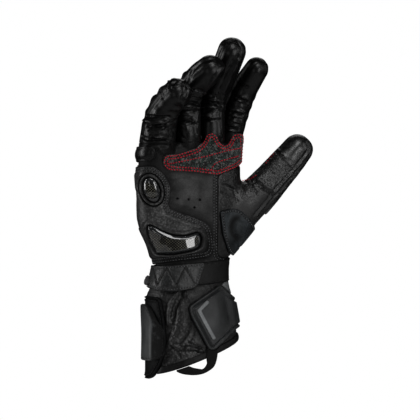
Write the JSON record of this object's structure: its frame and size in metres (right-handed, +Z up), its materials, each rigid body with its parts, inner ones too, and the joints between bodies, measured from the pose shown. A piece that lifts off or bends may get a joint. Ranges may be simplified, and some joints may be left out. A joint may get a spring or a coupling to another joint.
{
  "type": "motorcycle racing glove",
  "caption": "Right-hand motorcycle racing glove with a long cuff, curved fingers, wrist strap, closing flap, woven grip patch and hard palm sliders.",
  "frame": {"origin": "centre of the cuff's mouth, where the hand goes in", "axes": "+Z up the hand towards the fingertips, -Y out of the palm, +X towards the thumb"},
  "size_m": [0.1667, 0.0992, 0.297],
  "materials": {
    "palm_leather": "satin smooth black leather",
    "black_leather": "soft grained black leather with a slight sheen",
    "padded_leather": "padded smooth black leather",
    "blue_grey_panel": "smooth blue-grey coated panel",
    "light_grey_trim": "light grey trim",
    "woven_patch": "woven abrasion-resistant patch",
    "webbing": "flat black webbing",
    "carbon_slider": "glossy carbon twill",
    "moulded_rubber": "moulded black rubber"
  },
  "bodies": {
    "root": {"palm": "palm_leather", "back": "black_leather", "thumb": "black_leather", "cuff": "black_leather", "grip_patch": "woven_patch", "heel_pad": "padded_leather", "heel_slider": "carbon_slider", "side_slider_ring": "padded_leather", "side_slider": "carbon_slider", "side_guard": "padded_leather", "knuckle_pad": "padded_leather", "thumb_patch": "blue_grey_panel", "thumb_guard": "black_leather", "wrist_strap": "black_leather", "strap_tab": "padded_leather", "strap_end": "moulded_rubber", "cuff_overlap": "black_leather", "cuff_guard": "blue_grey_panel", "flap_base": "light_grey_trim", "cuff_flap": "blue_grey_panel", "flap_stripe": "light_grey_trim", "hem_binding": "black_leather", "pull_loop": "webbing", "index_finger": "black_leather", "middle_finger": "black_leather", "ring_finger": "black_leather", "little_finger": "black_leather"}
  },
  "joints": []
}
